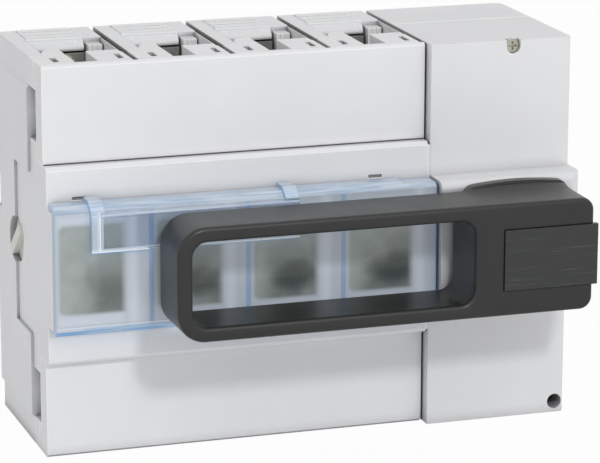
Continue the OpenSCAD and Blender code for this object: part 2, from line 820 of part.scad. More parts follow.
module drive_slide() color(steel) {
    z0 = -throw_z;
    half = 14;
    slot_half = crank_pin_r + lost_motion;
    lug_half = 6;
    lug_back = axis_y - arm_r + 5.3;
    difference() {
        block([slide_left, yoke_front, z0 - half], [slide_right, yoke_back, z0 + half]);
        rod_y(pivot_x - crank_r, z0, slot_half, yoke_front - 1, yoke_back + 1);
        rod_y(pivot_x - throw_z, z0, slot_half, yoke_front - 1, yoke_back + 1);
        block([pivot_x - crank_r, yoke_front - 1, z0 - slot_half],
              [pivot_x - throw_z, yoke_back + 1, z0 + slot_half]);
    }
    difference() {
        block([lug_left, yoke_back - 1, z0 - lug_half], [lug_left + lug_w, lug_back, z0 + lug_half]);
        block([lug_left - 1, axis_y - arm_r - arm_pin_r - 0.5, z0 - arm_pin_r - lost_motion],
              [lug_left + lug_w + 1, lug_back + 1, z0 + arm_pin_r + lost_motion]);
    }
}

lever_left = lug_left + lug_w + 0.6;
lever_t = 5.65;
lever_hub_r = 10.5;
lever_square = 11.6;
shaft_end = lever_left + lever_t;

module shaft_lever() color(steel) {
    translate([0, axis_y, 0]) rotate([open_angle / 2, 0, 0]) {
        difference() {
            union() {
                rod_x(0, 0, lever_hub_r, lever_left, shaft_end);
                block([lever_left, -arm_r, -3.8], [shaft_end, 0, 3.8]);
                rod_x(-arm_r, 0, 3.8, lever_left, shaft_end);
                rod_x(-arm_r, 0, arm_pin_r, lug_left - 0.2, lever_left + 1);
            }
            block([lever_left - 1, -lever_square / 2, -lever_square / 2],
                  [shaft_end + 1, lever_square / 2, lever_square / 2]);
        }
    }
}

// Contacts

// Places its children, drawn closed about the X axis, at their open angle on the shaft
module opened() { translate([0, axis_y, 0]) rotate([open_angle, 0, 0]) children(); }

module contact_shaft() color(cream) {
    tongue_t = 4.2;
    tongue_d = 2.4;
    shaft_left = left - side_proud;
    difference() {
        union() {
            rod_x(axis_y, 0, shaft_d / 2, shaft_left, lever_left);
            translate([0, axis_y, 0]) rotate([open_angle / 2, 0, 0])
                block([lever_left - 1, -lever_square / 2, -lever_square / 2],
                      [shaft_end, lever_square / 2, lever_square / 2]);
        }
        // Recesses beside the tongue at the free end
        opened() for (s = [-1, 1])
            block([shaft_left - 1, s > 0 ? tongue_t / 2 : -20, -20],
                  [shaft_left + tongue_d, s > 0 ? 20 : -tongue_t / 2, 20]);
        // Windows for the moving contacts
        opened() for (i = [1:pole_count])
            block([pole_left(i) + bolt_x - blade_w / 2, -blade_t / 2, -20],
                  [pole_left(i) + bolt_x + blade_w / 2, blade_t / 2, 20]);
    }
}

module moving_contact(i) color(copper) {
    x0 = pole_left(i) + bolt_x - blade_w / 2;
    x1 = x0 + blade_w;
    half = blade_len / 2;
    opened() {
        block([x0, -blade_t / 2, -half], [x1, blade_t / 2, half]);
        block([x0 + 2, blade_t / 2, half - 9], [x1 - 2, blade_t / 2 + pad_t, half - 1]);
        block([x0 + 2, -blade_t / 2 - pad_t, 1 - half], [x1 - 2, -blade_t / 2, 9 - half]);
    }
}

module fixed_contact_top(i) color(copper) {
    x0 = pole_left(i) + bolt_x - bar_w / 2;
    difference() {
        block([x0, bar_y, blade_len / 2 - 10], [x0 + bar_w, bar_y + bar_t, bar_end]);
        rod_y(pole_left(i) + bolt_x, bolt_z, bolt_r + bolt_gap, bar_y - 1, bar_y + bar_t + 1);
    }
}

module fixed_contact_bottom(i) color(copper) {
    x0 = pole_left(i) + bolt_x - bar_w / 2;
    top = 10 - blade_len / 2;
    bend = 6.5 - chamber_half;
    turn = 0.8 - chamber_half;
    difference() {
        strip(x0, x0 + bar_w)
            polygon([[low_face, top], [low_face - bar_t, top], [low_face - bar_t, bend - 1.5],
                     [bar_y, 0.05 - chamber_half], [bar_y, -bar_end], [bar_y + bar_t, -bar_end],
                     [bar_y + bar_t, turn], [bar_y + bar_t - 1, turn], [low_face, bend]]);
        rod_y(pole_left(i) + bolt_x, -bolt_z, bolt_r + bolt_gap, bar_y - 1, bar_y + bar_t + 1);
    }
}

// Arc chute: two cheeks with splitter plates across, before its own rotation
module arc_chute(i, count, cheek_end) {
    first = 12;
    step = 8;
    r_in = 13;
    r_notch = blade_len / 2 + 1.4;
    r_out = chamber_half - 0.4;
    plate_t = 1.2;
    cheek_t = 1.2;
    notch_half = blade_w / 2 + 1.5;
    p = pole_left(i);
    x0 = p + chamber_left;
    x1 = p + chamber_right;
    translate([0, axis_y, 0]) {
        for (k = [0:count - 1]) rotate([first + k * step, 0, 0]) {
            for (x = [[x0 + 1, p + bolt_x - notch_half], [p + bolt_x + notch_half, x1 - 1]])
                block([x[0], -plate_t / 2, r_in + 1], [x[1], plate_t / 2, r_out - 0.2]);
            block([x0 + 1, -plate_t / 2, r_notch], [x1 - 1, plate_t / 2, r_out - 0.2]);
        }
        for (x = [x0, x1 - cheek_t]) strip(x, x + cheek_t) difference() {
            intersection() {
                circle(r_out);
                polygon([[0, 0], 60 * [-sin(first - 5), cos(first - 5)],
                         60 * [-sin(cheek_end / 2), cos(cheek_end / 2)],
                         60 * [-sin(cheek_end), cos(cheek_end)]]);
            }
            circle(r_in);
        }
    }
}

module arc_chute_top(i) color(fibre) arc_chute(i, plate_count, 4 + 8 * plate_count + 6);

module arc_chute_bottom(i) color(fibre) intersection() {
    translate([0, 2 * axis_y, 0]) rotate([180, 0, 0])
        arc_chute(i, plate_count - 1, 8 * plate_count + 2);
    block([pole_left(i), -100, -chamber_half], [pole_left(i) + pole_pitch, -rear_wall, 0]);
}

// Fasteners

// Terminal bolt with its washers and nut, upper end
module terminal_bolt(x) {
    head_across = 13;
    head_t = 5.3;
    washer_r = 8;
    washer_t = 1.6;
    nut_t = 6.5;
    six = [bar_y - washer_t - head_t, bar_y + bar_t];
    rod_y(x, bolt_z, washer_r, bar_y - washer_t, bar_y);
    rod_y(x, bolt_z, bolt_r, bar_y - 2, bar_y + bar_t + nut_t + 2.5);
    slab(six[0], six[0] + head_t) translate([x, bolt_z])
        circle(r = head_across / sqrt(3), $fn = 6);
    slab(six[1], six[1] + nut_t) translate([x, bolt_z])
        circle(r = head_across / sqrt(3), $fn = 6);
}

module terminal_bolts_top() color(silver)
    for (i = [1:pole_count]) terminal_bolt(pole_left(i) + bolt_x);

module terminal_bolts_bottom() color(silver) mirror([0, 0, 1])
    for (i = [1:pole_count]) terminal_bolt(pole_left(i) + bolt_x);

module case_screws() color(steel) for (x = screw_x, s = [-1, 1]) difference() {
    union() {
        rod_y(x, s * screw_z, screw_r - screw_gap, screw_tip, -2);
        rod_y(x, s * screw_z, screw_head_r - screw_gap, -screw_head_t - 1, -1);
    }
    block([x - 2.5, -1.8, s * screw_z - 0.5], [x + 2.5, 1, s * screw_z + 0.5]);
}

module side_screws() color(steel) for (z = side_screw_z) {
    rod_x(side_screw_y, z, side_screw_r, poles_end - 12, mech_left + 8);
    rod_x(side_screw_y, z, side_screw_head_r, mech_left + 8, mech_left + 8 + side_screw_head_t);
}

rear_base();
front_housing();
top_terminal_cover();
bottom_terminal_cover();
window_cover();
window_slide();
mechanism_base();
mechanism_cover();
cover_screw();
handle();
lock_slide();
handle_screw();
spindle();
spindle_bush();
drive_disc();
toggle_spring();
drive_slide();
shaft_lever();
contact_shaft();
case_screws();
side_screws();
terminal_bolts_top();
terminal_bolts_bottom();
for (i = [1:pole_count]) {
    moving_contact(i);
    fixed_contact_top(i);
    fixed_contact_bottom(i);
    arc_chute_top(i);
    arc_chute_bottom(i);
}
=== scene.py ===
"""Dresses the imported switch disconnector: finishes, modelled handle, windows and stage."""
import math

import bmesh
import bpy
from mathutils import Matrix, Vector


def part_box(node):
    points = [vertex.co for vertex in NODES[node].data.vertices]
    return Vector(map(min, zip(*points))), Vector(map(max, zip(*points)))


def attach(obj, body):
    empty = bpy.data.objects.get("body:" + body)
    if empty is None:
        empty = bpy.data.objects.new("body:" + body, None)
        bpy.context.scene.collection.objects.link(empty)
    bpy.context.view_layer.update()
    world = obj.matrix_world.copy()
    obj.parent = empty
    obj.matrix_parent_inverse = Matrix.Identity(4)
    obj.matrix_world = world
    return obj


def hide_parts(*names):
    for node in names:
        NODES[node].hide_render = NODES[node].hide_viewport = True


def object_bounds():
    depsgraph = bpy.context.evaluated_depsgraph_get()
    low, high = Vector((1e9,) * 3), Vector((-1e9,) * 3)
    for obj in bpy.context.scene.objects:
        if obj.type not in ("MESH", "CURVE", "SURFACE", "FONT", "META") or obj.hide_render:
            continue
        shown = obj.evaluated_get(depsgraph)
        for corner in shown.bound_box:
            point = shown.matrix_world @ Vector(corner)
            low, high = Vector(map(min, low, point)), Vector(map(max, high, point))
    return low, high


bl_info = {
    "name": "Switch disconnector looks",
    "version": (1, 0, 0),
    "blender": (4, 5, 0),
    "location": "3D View > Sidebar > Switch",
    "description": "Finishes, handle, windows and stage of the switch disconnector",
    "category": "Object",
}

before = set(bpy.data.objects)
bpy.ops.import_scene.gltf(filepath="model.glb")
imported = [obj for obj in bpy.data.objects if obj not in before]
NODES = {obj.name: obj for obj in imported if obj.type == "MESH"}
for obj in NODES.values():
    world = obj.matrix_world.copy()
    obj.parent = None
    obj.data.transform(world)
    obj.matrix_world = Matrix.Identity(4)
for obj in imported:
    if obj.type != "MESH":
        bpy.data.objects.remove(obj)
CAD_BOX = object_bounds()
MM = 0.001
POLES = 4
POLE_PITCH = 35 * MM


# Node trees

def add(tree, kind, **settings):
    """Adds a shader or geometry node and sets its plain attributes."""
    node = tree.nodes.new(kind)
    for name, value in settings.items():
        setattr(node, name, value)
    return node


def fill(node, **values):
    """Sets the unlinked inputs of a node by name, with _ for a space."""
    for name, value in values.items():
        node.inputs[name.replace("_", " ")].default_value = value
    return node


def join(tree, source, output, target, socket):
    """Links an output of one node to an input of another."""
    tree.links.new(source.outputs[output], target.inputs[socket])


def join_to(tree, output, target, socket):
    """Links an output socket to a named input of a node."""
    tree.links.new(output, target.inputs[socket])


def new_finish(name):
    """An empty node material with its output and its main shader."""
    finish = bpy.data.materials.new(name)
    finish.use_nodes = True
    tree = finish.node_tree
    tree.nodes.clear()
    out = add(tree, "ShaderNodeOutputMaterial")
    shader = add(tree, "ShaderNodeBsdfPrincipled")
    join(tree, shader, "BSDF", out, "Surface")
    return finish, tree, shader, out


def noise(tree, coords, scale, detail=3.0, roughness=0.55):
    """Noise on object coordinates, with its scale in cells a metre."""
    node = add(tree, "ShaderNodeTexNoise")
    fill(node, Scale=scale, Detail=detail, Roughness=roughness)
    join(tree, coords, "Object", node, "Vector")
    return node


def ramp(tree, source, low, high, positions=(0.35, 0.65)):
    """Colour ramp from one colour to another, driven by a Fac output."""
    node = add(tree, "ShaderNodeValToRGB")
    node.color_ramp.elements[0].position = positions[0]
    node.color_ramp.elements[1].position = positions[1]
    node.color_ramp.elements[0].color = (*low, 1)
    node.color_ramp.elements[1].color = (*high, 1)
    join(tree, source, "Fac", node, "Fac")
    return node


def scaled(colour, factor):
    """Colour multiplied by a factor."""
    return tuple(min(1.0, c * factor) for c in colour)


def calc(tree, operation, *values):
    """Arithmetic node on numbers or sockets; gives its output socket."""
    node = add(tree, "ShaderNodeMath", operation=operation)
    for place, value in enumerate(values):
        if isinstance(value, bpy.types.NodeSocket):
            tree.links.new(value, node.inputs[place])
        else:
            node.inputs[place].default_value = value
    return node.outputs[0]


def rise(tree, value, low, high):
    """Soft step from 0 where value is low to 1 where it is high."""
    node = add(tree, "ShaderNodeMapRange", interpolation_type="SMOOTHSTEP")
    tree.links.new(value, node.inputs["Value"])
    fill(node, From_Min=low, From_Max=high)
    return node.outputs["Result"]


def blended(tree, share, first, second):
    """Colour mix; the colours are triples or sockets."""
    node = add(tree, "ShaderNodeMix", data_type="RGBA")
    tree.links.new(share, node.inputs["Factor"])
    for socket, value in zip([s for s in node.inputs if s.type == "RGBA"], (first, second)):
        if isinstance(value, bpy.types.NodeSocket):
            tree.links.new(value, socket)
        else:
            socket.default_value = (*value, 1)
    return next(s for s in node.outputs if s.type == "RGBA")


def edge_share(tree, radius, low=0.01, high=0.16):
    """1 along the outer edges of a solid, fading to 0 within the radius; also the bevel node."""
    soft = add(tree, "ShaderNodeBevel", samples=6)
    fill(soft, Radius=radius)
    flat = add(tree, "ShaderNodeNewGeometry")
    dot = add(tree, "ShaderNodeVectorMath", operation="DOT_PRODUCT")
    tree.links.new(soft.outputs["Normal"], dot.inputs[0])
    tree.links.new(flat.outputs["True Normal"], dot.inputs[1])
    turn = calc(tree, "SUBTRACT", 1.0, dot.outputs["Value"])
    return rise(tree, turn, low, high), soft


def moulded_plastic(name, colour, roughness=0.42, mottle=0.012, grain=0.25, edge=0.5,
                    edge_highlight=None, edge_highlight_share=0.6, hollow_shade=None, shaded=0.62, glint=0.0):
    """Moulded plastic: faint mottle, fine grain, soft edges lightened by a painted highlight, optional
    painted glint, and painted shade in hollows.
    """
    finish, tree, shader, _ = new_finish(name)
    coords = add(tree, "ShaderNodeTexCoord")
    cloud = noise(tree, coords, 38, 2.0)
    tone = ramp(tree, cloud, scaled(colour, 1 - mottle), scaled(colour, 1 + mottle))
    rim, soft = edge_share(tree, edge * MM)
    # Edges shift towards the edge highlight colour: a painted highlight along the rounded edges.
    share = calc(tree, "MULTIPLY", rim, edge_highlight_share)
    surface = blended(tree, share, tone.outputs["Color"], edge_highlight or colour)
    if hollow_shade:
        # Darker where ambient occlusion finds hollows and gaps: painted shade.
        shelter = add(tree, "ShaderNodeAmbientOcclusion", samples=4)
        fill(shelter, Distance=9 * MM)
        open_share = rise(tree, shelter.outputs["AO"], 0.12, shaded)
        surface = blended(tree, open_share, hollow_shade, surface)
    join_to(tree, surface, shader, "Base Color")
    if glint:
        # Edges glow white in proportion to glint: a painted highlight.
        fill(shader, Emission_Color=(1, 1, 1, 1))
        join_to(tree, calc(tree, "MULTIPLY", rim, glint), shader, "Emission Strength")
    patch = noise(tree, coords, 90, 3.0)
    gloss = add(tree, "ShaderNodeMapRange")
    fill(gloss, To_Min=roughness - 0.04, To_Max=roughness + 0.05)
    join(tree, patch, "Fac", gloss, "Value")
    join(tree, gloss, "Result", shader, "Roughness")
    pits = noise(tree, coords, 2600, 2.0, 0.6)
    bump = add(tree, "ShaderNodeBump")
    fill(bump, Strength=grain, Distance=0.00004)
    join(tree, pits, "Fac", bump, "Height")
    join(tree, soft, "Normal", bump, "Normal")
    join(tree, bump, "Normal", shader, "Normal")
    fill(shader, IOR=1.46)
    return finish


def plated_metal(name, colour, roughness=0.32, brush=(400, 3000, 400), edge=0.15):
    """Bright metal with drawn lines and faint stains."""
    finish, tree, shader, _ = new_finish(name)
    coords = add(tree, "ShaderNodeTexCoord")
    stretch = add(tree, "ShaderNodeMapping")
    stretch.inputs["Scale"].default_value = brush
    join(tree, coords, "Object", stretch, "Vector")
    lines = add(tree, "ShaderNodeTexNoise")
    fill(lines, Scale=1.0, Detail=4.0)
    join(tree, stretch, "Vector", lines, "Vector")
    stain = noise(tree, coords, 160, 3.0)
    tone = ramp(tree, stain, scaled(colour, 0.86), scaled(colour, 1.08))
    join(tree, tone, "Color", shader, "Base Color")
    gloss = add(tree, "ShaderNodeMapRange")
    fill(gloss, To_Min=roughness - 0.1, To_Max=roughness + 0.14)
    join(tree, lines, "Fac", gloss, "Value")
    join(tree, gloss, "Result", shader, "Roughness")
    soft = add(tree, "ShaderNodeBevel", samples=4)
    fill(soft, Radius=edge * MM)
    bump = add(tree, "ShaderNodeBump")
    fill(bump, Strength=0.3, Distance=0.00003)
    join(tree, lines, "Fac", bump, "Height")
    join(tree, soft, "Normal", bump, "Normal")
    join(tree, bump, "Normal", shader, "Normal")
    fill(shader, Metallic=1.0)
    return finish


def clear_moulding(name, tint, frosted):
    """Clear plastic: open faces, blue depth in its ribs and edges, tops painted paler by light from above, a
    faint painted glow, painted highlight lines on the strip and frost over the pole bays.
    """
    finish, tree, skin, out = new_finish(name)
    coords = add(tree, "ShaderNodeTexCoord")
    facing = add(tree, "ShaderNodeSeparateXYZ")
    join(tree, coords, "Normal", facing, "Vector")
    place = add(tree, "ShaderNodeSeparateXYZ")
    join(tree, coords, "Object", place, "Vector")
    side = calc(tree, "ABSOLUTE", facing.outputs["X"])
    top = rise(tree, facing.outputs["Z"], 0.2, 0.5)
    under = rise(tree, facing.outputs["Z"], -0.2, -0.5)
    flank = rise(tree, side, 0.3, 0.7)
    across = calc(tree, "MODULO", calc(tree, "SUBTRACT", place.outputs["X"], CAD_BOX[0][0]),
                  POLE_PITCH)
    streak = add(tree, "ShaderNodeMapping")
    streak.inputs["Scale"].default_value = (60, 900, 900)
    join(tree, coords, "Object", streak, "Vector")
    flow = add(tree, "ShaderNodeTexNoise")
    fill(flow, Scale=1.0, Detail=3.0)
    join(tree, streak, "Vector", flow, "Vector")
    drift = flow.outputs["Fac"]
    end = rise(tree, place.outputs["X"], CAD_BOX[0][0] + 1.6 * MM, CAD_BOX[0][0] + 1.1 * MM)
    sides = blended(tree, end, (0.2, 0.36, 0.58), (0.6, 0.67, 0.8))
    # Tops paler than the blue sides and undersides: blue depth colour throughout, with painted light from
    # above on the tops.
    tops = blended(tree, rise(tree, drift, 0.3, 0.7), (0.42, 0.56, 0.73), (0.72, 0.8, 0.89))
    unders = blended(tree, rise(tree, drift, 0.42, 0.6), (0.17, 0.37, 0.66), (0.34, 0.49, 0.7))
    colour = blended(tree, top, unders, tops)
    colour = blended(tree, flank, colour, sides)
    rim, soft = edge_share(tree, 0.3 * MM, 0.02, 0.2)
    front = calc(tree, "SUBTRACT", 1.0, calc(tree, "MAXIMUM", flank, calc(tree, "MAXIMUM", top, under)))
    colour = blended(tree, front, colour, (0.78, 0.86, 0.95))
    seen = add(tree, "ShaderNodeNewGeometry")
    outside = calc(tree, "SUBTRACT", 1.0, seen.outputs["Backfacing"])
    cover = calc(tree, "MAXIMUM", calc(tree, "MULTIPLY", rim, 0.62),
                 calc(tree, "MULTIPLY", calc(tree, "MULTIPLY", flank, outside), 0.85))
    cover = calc(tree, "MAXIMUM", cover, calc(tree, "MULTIPLY", top, 0.58))
    cover = calc(tree, "MAXIMUM", cover, calc(tree, "MULTIPLY", under, 0.85))
    if frosted:
        fog, share = bay_frost(tree, coords, place, across, drift)
        share = calc(tree, "MULTIPLY", share, front)
        colour = blended(tree, share, colour, fog)
        cover = calc(tree, "MAXIMUM", cover, calc(tree, "MULTIPLY", share, 0.94))
    else:
        low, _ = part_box("window_slide")
        # Grey band on the rib, then bright lines along the rib and the lower edge: painted highlights on the
        # strip's relief edges.
        marks = ((place.outputs["X"], low.x + 1.5 * MM, 1.2, 0.45, (0.36, 0.45, 0.55)),
                 (place.outputs["X"], low.x + 3.0 * MM, 0.28, 0.8, (0.86, 0.91, 0.96)),
                 (place.outputs["X"], low.x + 4.3 * MM, 0.2, 0.5, (0.86, 0.91, 0.96)),
                 (place.outputs["Z"], low.z + 0.6 * MM, 0.4, 0.8, (0.86, 0.91, 0.96)))
        for value, middle, half, strength, shade in marks:
            share = calc(tree, "MULTIPLY", line_share(tree, value, middle, half), strength)
            share = calc(tree, "MULTIPLY", share, front)
            colour = blended(tree, share, colour, shade)
            cover = calc(tree, "MAXIMUM", cover, share)
    # The skin glows faintly in its own colour: painted light.
    join_to(tree, colour, skin, "Base Color")
    join_to(tree, colour, skin, "Emission Color")
    fill(skin, Roughness=0.3, IOR=1.45, Emission_Strength=0.18)
    join(tree, soft, "Normal", skin, "Normal")
    open_face = add(tree, "ShaderNodeBsdfTransparent")
    open_face.inputs["Color"].default_value = (*tint, 1)
    body = mixed(tree, cover, open_face.outputs["BSDF"], skin.outputs["BSDF"])
    shine = add(tree, "ShaderNodeBsdfGlossy")
    fill(shine, Roughness=0.06)
    fresnel = add(tree, "ShaderNodeFresnel")
    fill(fresnel, IOR=1.45)
    body = mixed(tree, calc(tree, "MULTIPLY", fresnel.outputs["Fac"], 0.8), body,
                 shine.outputs["BSDF"])
    path = add(tree, "ShaderNodeLightPath")
    body = mixed(tree, path.outputs["Is Shadow Ray"], body, open_face.outputs["BSDF"])
    join_to(tree, body, out, "Surface")
    return finish


def mixed(tree, share, first, second):
    """Mix of two shaders."""
    node = add(tree, "ShaderNodeMixShader")
    for place, socket in enumerate((share, first, second)):
        tree.links.new(socket, node.inputs[place])
    return node.outputs["Shader"]


def line_share(tree, value, middle, half):
    """1 within half a width, in millimetres, of the middle of a line, and 0 beside it."""
    away = calc(tree, "ABSOLUTE", calc(tree, "SUBTRACT", value, middle))
    return rise(tree, away, (half + 0.12) * MM, (half - 0.12) * MM)


def panel_share(tree, across, height, centre, half, corner, soft):
    """1 inside a round-cornered panel, given in millimetres, and 0 outside it."""
    beyond = []
    for value, middle, reach in zip((across, height), centre, half):
        away = calc(tree, "ABSOLUTE", calc(tree, "SUBTRACT", value, middle * MM))
        beyond.append(calc(tree, "MAXIMUM", 0.0, calc(tree, "SUBTRACT", away, (reach - corner) * MM)))
    away = calc(tree, "SQRT", calc(tree, "ADD", calc(tree, "POWER", beyond[0], 2.0),
                                   calc(tree, "POWER", beyond[1], 2.0)))
    return rise(tree, away, (corner + soft) * MM, (corner - soft) * MM)


def bay_frost(tree, coords, place, across, drift):
    """Front of the cover: pale surround, paler round the first pane as painted light outside the handle's
    shadow, with a painted sheen right of each pane; foggy views into the pole bays painted darker towards
    the bottom and with a painted shade blotch; blue rib lines and a blue band at the foot.
    """
    height = place.outputs["Z"]
    window = panel_share(tree, across, height, (14.6, 1.2), (12.2, 16.0), 2.4, 1.1)
    outer = rise(tree, place.outputs["Y"], CAD_BOX[0][1] + 40 * MM, CAD_BOX[0][1] + 39 * MM)
    mist = noise(tree, coords, 60, 2.0)
    fine = noise(tree, coords, 900, 2.0)
    # Painted view of the dim interior: darker towards the bottom, as the bays lie in shade.
    level = rise(tree, height, -9 * MM, 16 * MM)
    tone = blended(tree, level, (0.15, 0.175, 0.168), (0.3, 0.335, 0.33))
    tone = blended(tree, rise(tree, across, 12 * MM, 3 * MM), tone, (0.3, 0.335, 0.325))
    tone = blended(tree, calc(tree, "MULTIPLY", rise(tree, mist.outputs["Fac"], 0.45, 0.7), 0.6),
                   tone, (0.38, 0.42, 0.41))
    # Dark blotch low in each bay, weaker in the first: painted shade over the contacts.
    dx = calc(tree, "DIVIDE", calc(tree, "SUBTRACT", across, 18.5 * MM), 8.5 * MM)
    dz = calc(tree, "DIVIDE", calc(tree, "ADD", height, 7 * MM), 5.5 * MM)
    spread = calc(tree, "ADD", calc(tree, "POWER", calc(tree, "ABSOLUTE", dx), 2.0),
                  calc(tree, "POWER", calc(tree, "ABSOLUTE", dz), 2.0))
    spread = calc(tree, "ADD", spread, calc(tree, "MULTIPLY", mist.outputs["Fac"], 1.2))
    first = rise(tree, place.outputs["X"], CAD_BOX[0][0] + 33 * MM, CAD_BOX[0][0] + 37 * MM)
    depth = calc(tree, "ADD", 0.35, calc(tree, "MULTIPLY", first, 0.6))
    tone = blended(tree, calc(tree, "MULTIPLY", rise(tree, spread, 2.4, 0.4), depth), tone,
                   (0.04, 0.052, 0.05))
    tone = blended(tree, calc(tree, "MULTIPLY", rise(tree, fine.outputs["Fac"], 0.66, 0.72), 0.12),
                   tone, (0.5, 0.55, 0.53))
    # Painted highlight right of each pane; the paler surround round the first pane is painted light, where
    # the handle's shadow does not fall.
    sheen = rise(tree, calc(tree, "ABSOLUTE", calc(tree, "SUBTRACT", across, 29 * MM)), 3.2 * MM, 0.2 * MM)
    beyond = rise(tree, place.outputs["X"], CAD_BOX[0][0] + 24 * MM, CAD_BOX[0][0] + 27 * MM)
    plain = blended(tree, beyond, (0.52, 0.57, 0.64), (0.43, 0.47, 0.53))
    surround = blended(tree, sheen, plain, (0.56, 0.6, 0.66))
    edge = rise(tree, across, 24.0 * MM, 27.2 * MM)
    tone = blended(tree, calc(tree, "MAXIMUM", edge, calc(tree, "SUBTRACT", 1.0, window)), tone,
                   surround)
    turned = calc(tree, "SUBTRACT", calc(tree, "MODULO", calc(tree, "ADD", across, POLE_PITCH / 2),
                                         POLE_PITCH), POLE_PITCH / 2)
    line = rise(tree, calc(tree, "ABSOLUTE", calc(tree, "SUBTRACT", turned, 0.4 * MM)),
                1.05 * MM, 0.75 * MM)
    inner = rise(tree, place.outputs["X"], CAD_BOX[0][0] + 5 * MM, CAD_BOX[0][0] + 6 * MM)
    line = calc(tree, "MULTIPLY", line, inner)
    tone = blended(tree, calc(tree, "MULTIPLY", line, 0.9), tone, (0.2, 0.36, 0.59))
    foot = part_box("window_cover")[0].z
    band = calc(tree, "MULTIPLY", line_share(tree, height, foot + 1.3 * MM, 1.3),
                rise(tree, place.outputs["X"], CAD_BOX[0][0] + 9 * MM, CAD_BOX[0][0] + 14 * MM))
    blue = blended(tree, rise(tree, drift, 0.4, 0.62), (0.17, 0.36, 0.62), (0.36, 0.5, 0.68))
    tone = blended(tree, calc(tree, "MULTIPLY", band, 0.9), tone, blue)
    tone = blended(tree, line_share(tree, height, foot + 3.0 * MM, 0.22), tone, (0.72, 0.77, 0.84))
    open_share = calc(tree, "SUBTRACT", 1.0, calc(tree, "MULTIPLY", calc(tree, "SUBTRACT", 1.0, window),
                                                  0.22))
    return tone, calc(tree, "MULTIPLY", open_share, outer)


def scratched_plate(name, colour, scratch):
    """Dark plate with long fine scratches along its slide direction."""
    finish, tree, shader, _ = new_finish(name)
    coords = add(tree, "ShaderNodeTexCoord")
    stretch = add(tree, "ShaderNodeMapping")
    stretch.inputs["Scale"].default_value = (35, 400, 1500)
    join(tree, coords, "Object", stretch, "Vector")
    lines = add(tree, "ShaderNodeTexNoise")
    fill(lines, Scale=1.0, Detail=5.0, Roughness=0.65)
    join(tree, stretch, "Vector", lines, "Vector")
    tone = ramp(tree, lines, colour, scratch, (0.6, 0.78))
    join(tree, tone, "Color", shader, "Base Color")
    gloss = add(tree, "ShaderNodeMapRange")
    fill(gloss, To_Min=0.5, To_Max=0.38)
    join(tree, lines, "Fac", gloss, "Value")
    join(tree, gloss, "Result", shader, "Roughness")
    soft = add(tree, "ShaderNodeBevel", samples=6)
    fill(soft, Radius=0.3 * MM)
    bump = add(tree, "ShaderNodeBump")
    fill(bump, Strength=0.4, Distance=0.00005)
    join(tree, lines, "Fac", bump, "Height")
    join(tree, soft, "Normal", bump, "Normal")
    join(tree, bump, "Normal", shader, "Normal")
    return finish


def dress(node, finish):
    """Gives a CAD node one finish."""
    mesh = NODES[node].data
    mesh.materials.clear()
    mesh.materials.append(finish)
    mesh.polygons.foreach_set("material_index", [0] * len(mesh.polygons))


def numbered(stem):
    """The nodes of all the poles that share a stem."""
    return [f"{stem}_{i + 1}" for i in range(POLES)]


def smooth(t):
    """Smooth step from 0 to 1."""
    t = min(1.0, max(0.0, t))
    return t * t * (3 - 2 * t)


def new_piece(name, verts, faces, finish):
    """Mesh object at the origin with one finish and outward faces."""
    mesh = bpy.data.meshes.new(name)
    mesh.from_pydata(verts, [], faces)
    mesh.validate()
    form = bmesh.new()
    form.from_mesh(mesh)
    bmesh.ops.remove_doubles(form, verts=form.verts, dist=1e-7)
    bmesh.ops.recalc_face_normals(form, faces=form.faces)
    form.to_mesh(mesh)
    form.free()
    mesh.materials.append(finish)
    piece = bpy.data.objects.new(name, mesh)
    bpy.context.scene.collection.objects.link(piece)
    return piece


def shade_by_angle(piece, degrees):
    """Smooth faces, with edges sharper than the angle kept sharp."""
    mesh = piece.data
    for polygon in mesh.polygons:
        polygon.use_smooth = True
    mesh.set_sharp_from_angle(angle=math.radians(degrees))


# Handle

class HandleForm:
    """Outline of the handle, worked out from the CAD node's box, in metres."""

    def __init__(self, looks):
        low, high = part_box("handle")
        self.x0, self.x1 = low.x, high.x
        self.front, self.hub_back = low.y, high.y
        self.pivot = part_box("spindle")[0].x + 6 * MM
        self.back = self.hub_back - 2.5 * MM
        self.half = looks.bar_half * MM
        self.end_r = 10 * MM
        self.hub_r = 4.5 * MM
        self.open_x0 = self.x0 + 5.3 * MM
        self.open_x1 = self.pivot - 23.55 * MM
        self.open_half = self.half - 5.2 * MM
        self.open_r = 5.5 * MM
        self.crown = looks.collar_rise * MM

    def crown_at(self, x):
        """Height of the hub's crown above the bar, at the collar."""
        away = abs(x - self.pivot) / MM
        arch = self.crown - away * away / 260 * MM
        shoulder = smooth((20.6 - away) / 3.4)
        return max(0.0, arch) * shoulder

    def outline(self, depth, inset):
        """Outer outline at a distance in front of the hub's back, pulled in by inset."""
        fade = 1 - smooth(depth / (12 * MM))
        points = []
        for side in (1, -1):
            right = corner(self.x1 - self.hub_r, side * (self.half - self.hub_r),
                           self.hub_r - inset, 0, 90, 8, side)
            left = corner(self.x0 + self.end_r, side * (self.half - self.end_r),
                          self.end_r - inset, 90, 180, 12, side)
            span = []
            count = 90
            a, b = self.x1 - self.hub_r, self.x0 + self.end_r
            for i in range(1, count):
                span.append((a + (b - a) * i / count, side * (self.half - inset)))
            half = right + span + left
            half = [(x, z + side * self.crown_at(x) * fade * (1 if abs(z) > self.half * 0.9 else 0.0))
                    for x, z in half]
            points += half if side > 0 else half[::-1]
        return points

    def opening(self, grow):
        """Outline of the finger opening, widened by grow."""
        points = []
        for side in (1, -1):
            right = corner(self.open_x1 - self.open_r, side * (self.open_half - self.open_r),
                           self.open_r + grow, 0, 90, 10, side)
            left = corner(self.open_x0 + self.open_r, side * (self.open_half - self.open_r),
                          self.open_r + grow, 90, 180, 10, side)
            half = right + left
            points += half if side > 0 else half[::-1]
        return points


